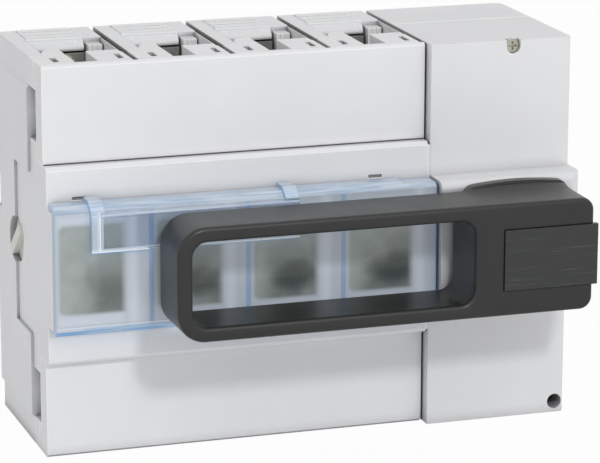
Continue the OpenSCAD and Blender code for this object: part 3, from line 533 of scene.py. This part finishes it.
def corner(cx, cz, radius, start, end, steps, side):
    """Points of a corner arc, mirrored in z where side is negative."""
    points = []
    for i in range(steps + 1):
        a = math.radians(start + (end - start) * i / steps)
        points.append((cx + radius * math.cos(a), cz + side * radius * math.sin(a)))
    return points


def wall(rings):
    """Faces between consecutive rings of equal length, as (verts, faces)."""
    verts = [v for ring in rings for v in ring]
    n = len(rings[0])
    faces = []
    for r in range(len(rings) - 1):
        for k in range(n):
            a, b = r * n + k, r * n + (k + 1) % n
            faces.append((a, b, b + n, a + n))
    return verts, faces


def edge_profile(radius, steps, back, front, hub_back):
    """(y, inset) stations from a rounded back edge to a rounded front edge."""
    stations = []
    for i in range(steps + 1):
        a = math.radians(90 * i / steps)
        stations.append((back - radius * 0.5 * (1 - math.cos(a)), radius * 0.5 * (1 - math.sin(a))))
    for i in range(1, 13):
        t = i / 13
        stations.append((back + (front - back) * t, 0.0))
    for i in range(steps + 1):
        a = math.radians(90 * i / steps)
        stations.append((front + radius * (1 - math.sin(a)), radius * (1 - math.cos(a))))
    return stations


def handle_body(form_of, finish):
    """Closed loop of the handle with rounded edges and the hub's fading crown."""
    f = form_of
    stations = edge_profile(1.5 * MM, 5, f.back, f.front, f.hub_back)
    outer, inner = [], []
    for y, inset in stations:
        depth = f.hub_back - y
        outer.append([(x, y, z) for x, z in f.outline(depth, inset)])
        inner.append([(x, y, z) for x, z in f.opening(inset)])
    form = bmesh.new()
    loops = []
    for rings in (outer, inner):
        made = [[form.verts.new(v) for v in ring] for ring in rings]
        n = len(made[0])
        for r in range(len(made) - 1):
            for k in range(n):
                a, b = made[r][k], made[r][(k + 1) % n]
                c, d = made[r + 1][(k + 1) % n], made[r + 1][k]
                form.faces.new((a, b, c, d))
        loops.append((ring_edges(form, made[0]), ring_edges(form, made[-1])))
    for end in (0, 1):
        bmesh.ops.triangle_fill(form, use_beauty=True, use_dissolve=True,
                                edges=loops[0][end] + loops[1][end])
    bmesh.ops.remove_doubles(form, verts=form.verts, dist=1e-7)
    bmesh.ops.recalc_face_normals(form, faces=form.faces)
    mesh = bpy.data.meshes.new("handle_moulding")
    form.to_mesh(mesh)
    form.free()
    mesh.materials.append(finish)
    piece = bpy.data.objects.new("handle_moulding", mesh)
    bpy.context.scene.collection.objects.link(piece)
    return piece


def ring_edges(form, ring):
    """Edges round a closed ring of vertices."""
    edges = []
    for k, a in enumerate(ring):
        b = ring[(k + 1) % len(ring)]
        edges.append(form.edges.get((a, b)) or form.edges.new((a, b)))
    return edges


def collar(form_of, finish):
    """Crowned collar behind the hub, against the plinth."""
    f = form_of
    rings = []
    x0, x1 = f.pivot - 20.3 * MM, f.x1
    for y, inset in ((f.back - 1.5 * MM, 0.0), (f.hub_back - 0.5 * MM, 0.0),
                     (f.hub_back - 0.15 * MM, 0.15 * MM), (f.hub_back, 0.5 * MM)):
        ring = []
        for side in (1, -1):
            half = []
            count = 60
            for i in range(count + 1):
                x = x1 - inset + (x0 - x1 + 2 * inset) * i / count
                rise = f.crown_at(x)
                away = min(x - x0, x1 - x) / MM
                drop = 4.5 - math.sqrt(max(0.0, 4.5 ** 2 - (4.5 - min(4.5, away)) ** 2))
                half.append((x, y, side * (f.half + rise - drop * MM - inset)))
            ring += half if side > 0 else half[::-1]
        rings.append(ring)
    verts, faces = wall(rings)
    n = len(rings[0])
    faces.append(tuple(range(n)))
    faces.append(tuple(range((len(rings) - 1) * n, len(rings) * n)))
    return new_piece("handle_collar", verts, faces, finish)


def cut(piece, *boxes):
    """Cuts boxes out of a piece with an exact boolean, applied to its mesh."""
    for low, high in boxes:
        form = bmesh.new()
        bmesh.ops.create_cube(form, size=1.0)
        for v in form.verts:
            for axis in range(3):
                v.co[axis] = low[axis] if v.co[axis] < 0 else high[axis]
        mesh = bpy.data.meshes.new("cutter")
        form.to_mesh(mesh)
        form.free()
        cutter = bpy.data.objects.new("cutter", mesh)
        bpy.context.scene.collection.objects.link(cutter)
        boolean = piece.modifiers.new("cut", "BOOLEAN")
        boolean.operation = "DIFFERENCE"
        boolean.solver = "EXACT"
        boolean.object = cutter
        bake(piece)
        bpy.data.objects.remove(cutter)
    return piece


def bake(piece):
    """Replaces a piece's mesh by the result of its modifiers."""
    graph = bpy.context.evaluated_depsgraph_get()
    result = bpy.data.meshes.new_from_object(piece.evaluated_get(graph))
    piece.modifiers.clear()
    old = piece.data
    piece.data = result
    bpy.data.meshes.remove(old)


def fuse(piece, others):
    """Joins closed shells to a piece with an exact union, applied to its mesh."""
    for other in others:
        boolean = piece.modifiers.new("fuse", "BOOLEAN")
        boolean.operation = "UNION"
        boolean.solver = "EXACT"
        boolean.object = other
        bake(piece)
        bpy.data.objects.remove(other)
    return piece


# Settings

class SwitchLooks(bpy.types.PropertyGroup):
    """Sizes and colours of the dressed switch."""
    case_colour: bpy.props.FloatVectorProperty(
        name="Case colour", description="Colour of the case mouldings", subtype="COLOR",
        default=(0.82, 0.825, 0.84), min=0, max=1)
    handle_colour: bpy.props.FloatVectorProperty(
        name="Handle colour", description="Colour of the handle", subtype="COLOR",
        default=(0.02, 0.0215, 0.02), min=0, max=1)
    plate_colour: bpy.props.FloatVectorProperty(
        name="Plate colour", description="Colour of the lock slide", subtype="COLOR",
        default=(0.024, 0.026, 0.025), min=0, max=1)
    clear_colour: bpy.props.FloatVectorProperty(
        name="Clear colour", description="Tint of the clear covers", subtype="COLOR",
        default=(0.915, 0.932, 0.957), min=0, max=1)
    bar_half: bpy.props.FloatProperty(
        name="Bar half height", description="Half height of the handle's loop, in millimetres",
        default=20.2, min=15, max=25)
    collar_rise: bpy.props.FloatProperty(
        name="Collar rise", description="Height of the hub's crown over the bar, in millimetres",
        default=2.7, min=0, max=5)
    key_power: bpy.props.FloatProperty(
        name="Key light", description="Power of the key light", subtype="POWER", unit="POWER",
        default=5.6, min=0)
    fill_strength: bpy.props.FloatProperty(
        name="Fill light", description="Strength of the light from all round",
        default=0.74, min=0, max=2)
    top_strength: bpy.props.FloatProperty(
        name="Light from above", description="Strength of the light from straight above",
        default=0.56, min=0, max=2)


class SwitchPiece(bpy.types.Operator):
    """Shared base of the operators, which all read the scene's looks"""
    bl_options = {"REGISTER", "UNDO"}

    def execute(self, context):
        self.make(context.scene.switch_looks)
        return {"FINISHED"}


class DressCase(SwitchPiece):
    """Gives the case mouldings their light grey plastic"""
    bl_idname = "switch.dress_case"
    bl_label = "Case mouldings"

    def make(self, looks):
        case = tuple(looks.case_colour)
        # The near white colour is the painted edge highlight and the dark grey one the painted shade in
        # hollows; glint makes the front mouldings' edges glow as a painted highlight.
        light = (0.98, 0.98, 0.985)
        hollow_shade_colour = (0.3, 0.3, 0.31)
        front = moulded_plastic("case_front_plastic", case, 0.45, edge=0.8, edge_highlight=light, edge_highlight_share=0.95,
                                hollow_shade=hollow_shade_colour, glint=0.17)
        rear = moulded_plastic("case_rear_plastic", scaled(case, 0.985), 0.5, edge=0.4, edge_highlight=light,
                               edge_highlight_share=0.6, hollow_shade=scaled(hollow_shade_colour, 0.45), shaded=0.82)
        drive = moulded_plastic("drive_case_plastic", scaled(case, 0.945), 0.45, edge=0.6,
                                edge_highlight=light, hollow_shade=hollow_shade_colour)
        for node in ("front_housing", "top_terminal_cover", "bottom_terminal_cover"):
            dress(node, front)
        dress("rear_base", rear)
        for node in ("mechanism_base", "mechanism_cover"):
            dress(node, drive)
        dress("contact_shaft", moulded_plastic("shaft_plastic", (0.74, 0.73, 0.69), 0.4))


class DressWindows(SwitchPiece):
    """Gives the window cover and its clear strip their blue-edged clear plastic"""
    bl_idname = "switch.dress_windows"
    bl_label = "Clear covers"

    def make(self, looks):
        clear = tuple(looks.clear_colour)
        dress("window_cover", clear_moulding("window_clear", clear, True))
        dress("window_slide", clear_moulding("strip_clear", clear, False))


class BuildHandle(SwitchPiece):
    """Models the handle's loop, its crowned hub and collar, and the lock slide's finish"""
    bl_idname = "switch.build_handle"
    bl_label = "Handle"

    def make(self, looks):
        # Paler grey at the edges: painted highlight along the handle's edges.
        finish = moulded_plastic("handle_plastic", tuple(looks.handle_colour), 0.34, 0.06, 0.5, 0.5,
                                 edge_highlight=(0.11, 0.115, 0.11), edge_highlight_share=0.5)
        form = HandleForm(looks)
        body = handle_body(form, finish)
        fuse(body, [collar(form, finish)])
        plate_low, plate_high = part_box("lock_slide")
        gap = 0.25 * MM
        web = plate_high.y
        beyond = form.x1 + 5 * MM
        cut(body,
            ((plate_low.x - gap, form.front - 1 * MM, plate_low.z - gap),
             (beyond, plate_low.y + 2.1 * MM, plate_high.z + gap)),
            ((plate_low.x - gap, form.front - 1 * MM, -9.85 * MM), (beyond, web + 0.1 * MM, 9.85 * MM)))
        shade_by_angle(body, 32)
        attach(body, "handle_set")
        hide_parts("handle")
        dress("lock_slide", scratched_plate("lock_slide_plastic", tuple(looks.plate_colour),
                                            (0.11, 0.115, 0.115)))


class BuildTrim(SwitchPiece):
    """Adds the terminal hoods' ribs and lips, the joint strip, a bright strip painted as the highlight on
    the case's top seam, and dark strips painted as the shade in its gaps
    """
    bl_idname = "switch.build_trim"
    bl_label = "Case trim"

    def make(self, looks):
        finish = bpy.data.materials["case_front_plastic"]
        top = CAD_BOX[1][2] if CAD_BOX[1][2] < 70.05 * MM else 70 * MM
        for name, side in (("hood_trim_top", 1), ("hood_trim_bottom", -1)):
            trim = hood_trim(name, CAD_BOX[0][0] + 1.1 * MM, side, finish)
            repeat_along_x(trim, POLES, POLE_PITCH, finish)
            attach(trim, "case")
        low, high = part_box("mechanism_cover")
        poles_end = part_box("front_housing")[1].x
        strip = box_piece("case_joint", finish,
                          ((poles_end, low_y_of_middle(), -34 * MM), (low.x - 0.04 * MM, -50 * MM, 34 * MM)))
        # A near white strip along the top seam of the mechanism: painted highlight on the seam's edge.
        bright = moulded_plastic("seam_highlight_plastic", (0.96, 0.96, 0.965), 0.4, 0.02, 0.1, 0.1)
        seam = box_piece("case_seam_highlight", bright,
                         ((low.x + 0.4 * MM, high.y - 0.2 * MM, top - 0.1 * MM),
                          (high.x - 0.4 * MM, high.y + 0.3 * MM, top + 0.12 * MM)))
        # Dark strips in the gap beside the mechanism and under the top cover's foot: painted shade standing
        # in for the shadow in these gaps.
        dark = moulded_plastic("gap_shade_plastic", (0.06, 0.062, 0.065), 0.6, 0.1, 0.3, 0.1)
        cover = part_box("top_terminal_cover")
        gap_shade_boxes = [((poles_end + 0.05 * MM, cover[0].y + 0.9 * MM, side[0]),
                  (low.x - 0.05 * MM, -45 * MM, side[1]))
                 for side in ((35.3 * MM, 69.4 * MM), (-69.4 * MM, -35.3 * MM))]
        gap_shade_piece = box_piece("gap_shade_strips", dark, *gap_shade_boxes)
        foot = box_piece("cover_foot_shade_strip", dark,
                         ((cover[0].x + 0.4 * MM, cover[0].y - 0.06 * MM, cover[0].z + 0.02 * MM),
                          (poles_end - 0.4 * MM, cover[0].y + 0.6 * MM, cover[0].z + 0.3 * MM)))
        for piece in (strip, seam, gap_shade_piece, foot):
            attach(piece, "case")


def low_y_of_middle():
    """Front of the zone between the terminal covers, level with the mechanism's front."""
    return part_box("top_terminal_cover")[0].y - 4.5 * MM


def box_shell(low, high):
    """Corners and outward faces of a box."""
    verts = [(x, y, z) for z in (low[2], high[2]) for y in (low[1], high[1]) for x in (low[0], high[0])]
    faces = [(0, 2, 3, 1), (4, 5, 7, 6), (0, 1, 5, 4), (2, 6, 7, 3), (0, 4, 6, 2), (1, 3, 7, 5)]
    return verts, faces


def box_piece(name, finish, *boxes):
    """Piece made of boxes with fine chamfered edges."""
    verts, faces = [], []
    for low, high in boxes:
        corners, sides = box_shell(low, high)
        faces += [tuple(len(verts) + k for k in side) for side in sides]
        verts += corners
    piece = new_piece(name, verts, faces, finish)
    form = bmesh.new()
    form.from_mesh(piece.data)
    bmesh.ops.bevel(form, geom=form.edges[:], offset=0.05 * MM, segments=1, affect="EDGES")
    form.to_mesh(piece.data)
    form.free()
    return piece


def hood_trim(name, left, side, finish):
    """Ribs, bevelled lip, ejector marks and grooved block of one pole's terminal hood."""
    top = 70 * MM
    verts, faces = [], []

    def take(corners, sides):
        faces.extend(tuple(len(verts) + k for k in face) for face in sides)
        verts.extend(corners)

    for y in (-3.4, -9.2, -15.0):
        take(*box_shell((left + 6.4 * MM, (y - 2.1) * MM, top - 0.2 * MM),
                        (left + 25.4 * MM, (y + 2.1) * MM, top + 0.4 * MM)))
    section = [(-18.2, 0.4), (-19.9, 0.4), (-22.4, -2.4), (-22.6, -3.2), (-22.2, -4.0), (-20.4, -4.4),
               (-18.2, -0.2)]
    count = len(section)
    ends = [[(x, y * MM, top + z * MM) for y, z in section] for x in (left + 5.6 * MM, left + 26.1 * MM)]
    sides = [(k, (k + 1) % count, count + (k + 1) % count, count + k) for k in range(count)]
    take(ends[0] + ends[1], sides + [tuple(range(count)), tuple(range(2 * count - 1, count - 1, -1))])
    for x in (8.4, 22.6):
        ring = [(math.cos(math.radians(30 * k)), math.sin(math.radians(30 * k))) for k in range(12)]
        slope = (2.8 / 3.75, 2.5 / 3.75)
        layers = []
        for lift in (-0.1, 0.12):
            layers.append([(left + (x + 0.95 * c) * MM,
                            (-21.2 + 0.95 * s * slope[1] - lift * slope[0]) * MM,
                            top + (-1.05 + 0.95 * s * slope[0] + lift * slope[1]) * MM)
                           for c, s in ring])
        take(layers[0] + layers[1],
             [(k, (k + 1) % 12, 12 + (k + 1) % 12, 12 + k) for k in range(12)]
             + [tuple(range(12)), tuple(range(12, 24))])
    for x0, x1 in ((27.0, 28.3), (28.6, 29.9), (30.2, 32.0)):
        take(*box_shell((left + x0 * MM, -25.9 * MM, top - 20 * MM),
                        (left + x1 * MM, -20 * MM, top - 1.5 * MM)))
    take(*box_shell((left + 27.2 * MM, -25.6 * MM, top - 20 * MM),
                    (left + 31.8 * MM, -20 * MM, top - 1.7 * MM)))
    verts = [(x, y, side * z) for x, y, z in verts]
    return new_piece(name, verts, faces, finish)


def repeat_along_x(piece, count, pitch, finish):
    """Repeats a piece along X with a Geometry Nodes tree, then bakes it to one mesh."""
    tree = bpy.data.node_groups.new(piece.name + "_row", "GeometryNodeTree")
    face = tree.interface
    face.new_socket("Geometry", in_out="INPUT", socket_type="NodeSocketGeometry")
    number = face.new_socket("Count", in_out="INPUT", socket_type="NodeSocketInt")
    step = face.new_socket("Pitch", in_out="INPUT", socket_type="NodeSocketFloat")
    face.new_socket("Geometry", in_out="OUTPUT", socket_type="NodeSocketGeometry")
    start = add(tree, "NodeGroupInput")
    end = add(tree, "NodeGroupOutput")
    offset = add(tree, "ShaderNodeCombineXYZ")
    join(tree, start, "Pitch", offset, "X")
    line = add(tree, "GeometryNodeMeshLine")
    join(tree, start, "Count", line, "Count")
    join(tree, offset, "Vector", line, "Offset")
    row = add(tree, "GeometryNodeInstanceOnPoints")
    join(tree, line, "Mesh", row, "Points")
    join(tree, start, "Geometry", row, "Instance")
    real = add(tree, "GeometryNodeRealizeInstances")
    join(tree, row, "Instances", real, "Geometry")
    coat = add(tree, "GeometryNodeSetMaterial")
    coat.inputs["Material"].default_value = finish
    join(tree, real, "Geometry", coat, "Geometry")
    join(tree, coat, "Geometry", end, "Geometry")
    row_of = piece.modifiers.new("row", "NODES")
    row_of.node_group = tree
    row_of[number.identifier] = count
    row_of[step.identifier] = pitch
    bake(piece)


class DressMetal(SwitchPiece):
    """Gives the contacts, bolts, screws and drive their metals"""
    bl_idname = "switch.dress_metal"
    bl_label = "Metal pieces"

    def make(self, looks):
        tin = plated_metal("tin_plate", (0.46, 0.46, 0.43), 0.3)
        steel = plated_metal("drive_steel", (0.56, 0.57, 0.58), 0.35)
        zinc = plated_metal("zinc_screw", (0.5, 0.49, 0.42), 0.3)
        copper = plated_metal("bare_copper", (0.8, 0.5, 0.36), 0.35)
        for stem in ("fixed_contact_top", "fixed_contact_bottom"):
            for node in numbered(stem):
                dress(node, tin)
        for node in ("terminal_bolts_top", "terminal_bolts_bottom", "cover_screw"):
            dress(node, zinc)
        for node in numbered("moving_contact"):
            dress(node, copper)
        for node in ("handle_screw", "spindle", "drive_disc", "toggle_spring", "drive_slide",
                     "shaft_lever", "case_screws", "side_screws"):
            dress(node, steel)
        dress("spindle_bush", plated_metal("bush_bronze", (0.72, 0.56, 0.33), 0.3))
        fibre = moulded_plastic("chute_fibre", (0.3, 0.27, 0.22), 0.6, 0.08, 0.5, 0.1)
        for stem in ("arc_chute_top", "arc_chute_bottom"):
            for node in numbered(stem):
                dress(node, fibre)


class BuildStage(SwitchPiece):
    """Sets the pale floor, the soft lights, the world and the camera"""
    bl_idname = "switch.build_stage"
    bl_label = "Stage"

    def make(self, looks):
        floor_z = CAD_BOX[0][2]
        side = 6.0
        corners = [(-side, -side, floor_z), (side, -side, floor_z),
                   (side, side, floor_z), (-side, side, floor_z)]
        floor = new_piece("floor", corners, [(0, 1, 2, 3)], floor_finish())
        build_world(looks.fill_strength, looks.top_strength)
        soft_light("key_light", (0.063, -1.25, 0.81), 0.14, looks.key_power)
        build_camera()


def floor_finish():
    """Floor that is white to the camera and keeps the object's shadow."""
    finish, tree, shader, out = new_finish("floor_white")
    coords = add(tree, "ShaderNodeTexCoord")
    tone = ramp(tree, noise(tree, coords, 3, 1.0), (0.94, 0.94, 0.94), (0.95, 0.95, 0.95))
    join(tree, tone, "Color", shader, "Base Color")
    fill(shader, Roughness=0.8)
    path = add(tree, "ShaderNodeLightPath")
    glow = add(tree, "ShaderNodeEmission")
    fill(glow, Strength=1.0)
    glow.inputs["Color"].default_value = (1, 1, 1, 1)
    seen = add(tree, "ShaderNodeMath", operation="MAXIMUM")
    tree.links.new(path.outputs["Is Camera Ray"], seen.inputs[0])
    tree.links.new(path.outputs["Is Transmission Ray"], seen.inputs[1])
    share = add(tree, "ShaderNodeMath", operation="MULTIPLY")
    tree.links.new(seen.outputs[0], share.inputs[0])
    share.inputs[1].default_value = 0.95
    mix = add(tree, "ShaderNodeMixShader")
    tree.links.new(share.outputs[0], mix.inputs[0])
    tree.links.new(shader.outputs["BSDF"], mix.inputs[1])
    tree.links.new(glow.outputs["Emission"], mix.inputs[2])
    join(tree, mix, "Shader", out, "Surface")
    return finish


def build_world(strength, above):
    """White to camera, glossy and transmission rays, and a soft even light otherwise."""
    world = bpy.data.worlds.new("studio")
    bpy.context.scene.world = world
    world.use_nodes = True
    tree = world.node_tree
    tree.nodes.clear()
    out = add(tree, "ShaderNodeOutputWorld")
    back = add(tree, "ShaderNodeBackground")
    back.inputs["Color"].default_value = (1, 1, 1, 1)
    path = add(tree, "ShaderNodeLightPath")
    seen = path.outputs["Is Camera Ray"]
    for kind in ("Is Glossy Ray", "Is Transmission Ray"):
        seen = calc(tree, "MAXIMUM", seen, path.outputs[kind])
    coords = add(tree, "ShaderNodeTexCoord")
    ray = add(tree, "ShaderNodeSeparateXYZ")
    join(tree, coords, "Generated", ray, "Vector")
    high = rise(tree, ray.outputs["Z"], 0.25, 1.0)
    level = calc(tree, "ADD", strength, calc(tree, "MULTIPLY", high, above - strength))
    level = calc(tree, "MAXIMUM", seen, level)
    join_to(tree, level, back, "Strength")
    join(tree, back, "Background", out, "Surface")


def soft_light(name, place, size, power):
    """Square area light that faces the middle of the object."""
    lamp = bpy.data.lights.new(name, "AREA")
    lamp.size = size
    lamp.energy = power
    light = bpy.data.objects.new(name, lamp)
    light.location = place
    light.rotation_euler = (Vector((0, -0.04, 0)) - Vector(place)).to_track_quat("-Z", "Y").to_euler()
    bpy.context.scene.collection.objects.link(light)


def build_camera():
    """Camera at the photograph's viewing angle."""
    data = bpy.data.cameras.new("photo_camera")
    data.lens = 195.446
    data.sensor_width = 36
    data.clip_end = 50
    camera = bpy.data.objects.new("photo_camera", data)
    camera.location = (-0.3541, -1.12563, 0.29278)
    yaw, pitch, roll = 18.244, -14.459, -0.152
    camera.rotation_euler = (math.radians(90 + pitch), math.radians(roll), -math.radians(yaw))
    bpy.context.scene.collection.objects.link(camera)
    bpy.context.scene.camera = camera


class SwitchPanel(bpy.types.Panel):
    """Lists the steps that dress the switch"""
    bl_idname = "VIEW3D_PT_switch_looks"
    bl_label = "Switch disconnector"
    bl_space_type = "VIEW_3D"
    bl_region_type = "UI"
    bl_category = "Switch"

    def draw(self, context):
        looks = context.scene.switch_looks
        for name in looks.bl_rna.properties.keys():
            if name not in ("rna_type", "name"):
                self.layout.prop(looks, name)
        for step in STEPS:
            self.layout.operator(step.bl_idname)


STEPS = (DressCase, BuildTrim, DressMetal, DressWindows, BuildHandle, BuildStage)


def register():
    bpy.utils.register_class(SwitchLooks)
    bpy.types.Scene.switch_looks = bpy.props.PointerProperty(type=SwitchLooks)
    for step in STEPS:
        bpy.utils.register_class(step)
    bpy.utils.register_class(SwitchPanel)


def unregister():
    bpy.utils.unregister_class(SwitchPanel)
    for step in reversed(STEPS):
        bpy.utils.unregister_class(step)
    del bpy.types.Scene.switch_looks
    bpy.utils.unregister_class(SwitchLooks)


def main():
    """Dresses the switch."""
    register()
    bpy.context.scene.view_settings.view_transform = "Standard"
    bpy.ops.switch.dress_case()
    bpy.ops.switch.build_trim()
    bpy.ops.switch.dress_metal()
    bpy.ops.switch.dress_windows()
    bpy.ops.switch.build_handle()
    bpy.ops.switch.build_stage()


if __name__ == "__main__":
    main()
